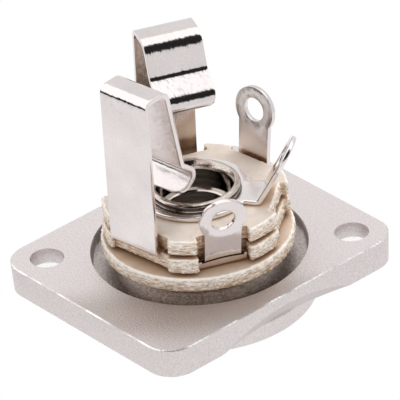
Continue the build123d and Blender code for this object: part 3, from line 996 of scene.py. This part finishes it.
class JACK_OT_fibre(bpy.types.Operator):
    """Dresses the fibre disc, the two spacers and the insulating tube"""

    bl_idname = "jack.fibre"
    bl_label = "Fibre insulation"

    def execute(self, context):
        fibre = vulcanised_fibre()
        for node in ("base_disc", "lower_spacer", "upper_spacer"):
            roughen(node)
            dress(node, fibre)
        dress("insulating_tube", varnished_paper())
        return {"FINISHED"}


class JACK_OT_strips(bpy.types.Operator):
    """Draws the tip, ring and sleeve strips with their bends, lugs and punched edges"""

    bl_idname = "jack.strips"
    bl_label = "Contact strips"

    def execute(self, context):
        s = sizes()
        first = s.first_direction
        # The stack has six slots, a sixth of a turn apart
        sixth = pi / 3
        tip_direction = first + 2 * sixth
        ring_direction = first - 2 * sixth
        # Height of the painted shadow line at the tip lug's crease
        crease = s.tip_plate_height + TIP_LUG["foot"] * MM
        made = strip_object(
            "tip_strip",
            lambda bm: contact_strip(bm, s.tip_plate_height, TIP_SPRING, TIP_LUG),
            tip_direction,
            spring_finish("tip", tip_direction, tuple(colours().strip_inner), crease),
        )
        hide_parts("tip_terminal", "tip_spring")
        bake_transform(made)
        made = strip_object(
            "ring_strip",
            lambda bm: contact_strip(bm, s.ring_plate_height, RING_SPRING, RING_LUG),
            ring_direction,
            spring_finish("ring", ring_direction, tuple(colours().strip)),
        )
        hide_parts("ring_terminal", "ring_spring")
        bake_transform(made)
        made = strip_object(
            "sleeve_strip",
            sleeve_strip,
            first,
            [nickel_strip("bright_nickel_sleeve_strip", first, tuple(colours().sleeve), 0.16, 0.22)],
        )
        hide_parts("sleeve_terminal")
        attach(made, "jack")
        return {"FINISHED"}


def floor_material():
    """A matte white sheet: white to the camera and in the metal, with a faint shadow of the object."""
    material, tree, shader, place = new_material("white_floor_sheet", srgb("F4F4F4"), 0.0, 0.9)
    path = add(tree, "ShaderNodeLightPath").outputs
    glow = add(tree, "ShaderNodeEmission", {"Color": srgb("FFFFFF"), "Strength": 1.0})
    seen = add(
        tree, "ShaderNodeMath", {0: path["Is Camera Ray"], 1: path["Is Glossy Ray"]}, operation="MAXIMUM"
    )
    # Under the bore the sheet lies in the object's own shade
    radius = add(tree, "ShaderNodeVectorMath", {0: place}, operation="LENGTH").outputs["Value"]
    outside = add(
        tree,
        "ShaderNodeMapRange",
        {"Value": radius, "From Min": 10 * MM, "From Max": 12 * MM, "To Max": 0.99},
    )
    lit = add(tree, "ShaderNodeMath", {0: seen, 1: outside}, operation="MULTIPLY")
    mixed = add(tree, "ShaderNodeMixShader", {0: lit, 1: shader, 2: glow})
    tree.links.new(mixed.outputs["Shader"], tree.nodes["Material Output"].inputs["Surface"])
    return material


def studio_world(turn):
    """A white tent with a dark opening above the camera; the camera itself sees white."""
    world = bpy.data.worlds.new("white_tent")
    bpy.context.scene.world = world
    world.use_nodes = True
    tree = world.node_tree
    back = tree.nodes["Background"]
    path = add(tree, "ShaderNodeLightPath").outputs
    # Rise above the horizon, and side as seen from the camera
    way = add(tree, "ShaderNodeTexCoord").outputs["Generated"]
    turned = add(tree, "ShaderNodeMapping", {"Vector": way, "Rotation": (0, 0, pi / 2 - turn)})
    parts = add(tree, "ShaderNodeSeparateXYZ", {"Vector": turned}).outputs
    rise = add(tree, "ShaderNodeMath", {0: parts["Z"]}, operation="ARCSINE")
    side = add(tree, "ShaderNodeMath", {0: parts["Y"], 1: parts["X"]}, operation="ARCTAN2")
    # Cloth of the tent: light all round, white overhead and to the left
    overhead = zone(tree, rise, radians(40), radians(100), radians(5))
    left = zone(tree, side, radians(-150), radians(-55), radians(6))
    left = zone(tree, rise, radians(10), radians(60), radians(3), within=left)
    bright = add(tree, "ShaderNodeMath", {0: overhead, 1: left}, operation="MAXIMUM")
    cloth = add(tree, "ShaderNodeMix", {"Factor": bright, 2: 0.88, 3: 1.38}, data_type="FLOAT")
    # Dark opening above and beside the camera, lit up again in a second reflection
    first = add(tree, "ShaderNodeMath", {0: path["Glossy Depth"], 1: 1.5}, operation="LESS_THAN")
    opening = zone(tree, rise, radians(19), radians(71), radians(3), within=first)
    opening = zone(tree, side, radians(-40), radians(66), radians(6), within=opening)
    # Dark gap past the edge of the floor sheet on the left
    gap = zone(tree, rise, radians(-12), radians(8), radians(3))
    gap = zone(tree, side, radians(-135), radians(-62), radians(6), within=gap)
    dark = add(tree, "ShaderNodeMath", {0: opening, 1: gap}, operation="MAXIMUM")
    tent = add(tree, "ShaderNodeMix", {"Factor": dark, 2: cloth, 3: 0.02}, data_type="FLOAT")
    # The opening is narrow, so the matt pieces get their light from all round
    filled = add(
        tree, "ShaderNodeMix", {"Factor": path["Is Diffuse Ray"], 2: tent, 3: 1.05}, data_type="FLOAT"
    )
    level = add(
        tree, "ShaderNodeMix", {"Factor": path["Is Camera Ray"], 2: filled, 3: 1.0}, data_type="FLOAT"
    )
    back.inputs["Color"].default_value = srgb("FFFFFF")
    tree.links.new(level.outputs[0], back.inputs["Strength"])


class JACK_OT_stage(bpy.types.Operator):
    """Sets the floor, the light and the camera"""

    bl_idname = "jack.stage"
    bl_label = "Stage"

    def execute(self, context):
        scene = context.scene
        stage = scene.jack_stage
        low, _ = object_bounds()

        def sheet(bm):
            bmesh.ops.create_circle(bm, cap_ends=True, radius=60 * MM, segments=96)
            bmesh.ops.translate(bm, verts=bm.verts, vec=(0, 0, low[2]))

        floor = object_from("floor", sheet, [floor_material()])
        studio_world(stage.turn)
        # One large, soft lamp over the back left, aimed at the stack
        lamp_data = bpy.data.lights.new("soft_key", "AREA")
        lamp_data.shape = "DISK"
        lamp_data.size = 400 * MM
        lamp_data.energy = 2.0
        lamp = bpy.data.objects.new("soft_key", lamp_data)
        lamp.location = Vector((-111, 386, 573)) * MM
        aim = Vector((0, 0, 10 * MM)) - lamp.location
        lamp.rotation_euler = aim.to_track_quat("-Z", "Y").to_euler()
        scene.collection.objects.link(lamp)
        lamp.visible_glossy = False
        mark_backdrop(floor, lamp)

        # The camera looks at the origin from its turn and rise, then rolls and shifts a little
        level = Vector((sin(stage.turn), -cos(stage.turn), 0))
        back = level * cos(stage.rise) + Vector((0, 0, sin(stage.rise)))
        right = Vector((cos(stage.turn), sin(stage.turn), 0))
        up = back.cross(right)
        rolled_right = right * cos(stage.roll) + up * sin(stage.roll)
        rolled_up = up * cos(stage.roll) - right * sin(stage.roll)
        camera_data = bpy.data.cameras.new("camera")
        camera_data.sensor_width = 36.0
        camera_data.lens = stage.lens
        camera_data.clip_start = 0.01
        camera_data.clip_end = 20.0
        camera = bpy.data.objects.new("camera", camera_data)
        place = back * stage.distance + rolled_right * stage.right + rolled_up * stage.up
        turn = Matrix((rolled_right, rolled_up, back)).transposed().to_4x4()
        camera.matrix_world = Matrix.Translation(place) @ turn
        scene.collection.objects.link(camera)
        scene.camera = camera
        scene.view_settings.view_transform = "Standard"
        return {"FINISHED"}


class JACK_PT_panel(bpy.types.Panel):
    """Lists the jack's pieces, sizes and colours"""

    bl_idname = "JACK_PT_panel"
    bl_label = "Panel jack"
    bl_space_type = "VIEW_3D"
    bl_region_type = "UI"
    bl_category = "Panel Jack"

    def draw(self, context):
        layout = self.layout
        for group in (context.scene.jack_sizes, context.scene.jack_colours, context.scene.jack_stage):
            box = layout.box()
            for name in group.__annotations__:
                box.prop(group, name)
        for operator in OPERATORS:
            layout.operator(operator.bl_idname)


OPERATORS = (JACK_OT_flange, JACK_OT_bushing, JACK_OT_fibre, JACK_OT_strips, JACK_OT_stage)
GROUPS = {"jack_sizes": JACK_PG_sizes, "jack_colours": JACK_PG_colours, "jack_stage": JACK_PG_stage}


def register():
    for group in GROUPS.values():
        bpy.utils.register_class(group)
    for operator in OPERATORS:
        bpy.utils.register_class(operator)
    bpy.utils.register_class(JACK_PT_panel)
    for name, group in GROUPS.items():
        setattr(bpy.types.Scene, name, bpy.props.PointerProperty(type=group))


def unregister():
    for name in GROUPS:
        delattr(bpy.types.Scene, name)
    bpy.utils.unregister_class(JACK_PT_panel)
    for operator in reversed(OPERATORS):
        bpy.utils.unregister_class(operator)
    for group in reversed(list(GROUPS.values())):
        bpy.utils.unregister_class(group)


def main():
    """Builds the jack and its stage."""
    register()
    bpy.ops.jack.flange()
    bpy.ops.jack.bushing()
    bpy.ops.jack.fibre()
    bpy.ops.jack.strips()
    bpy.ops.jack.stage()


if __name__ == "__main__":
    main()
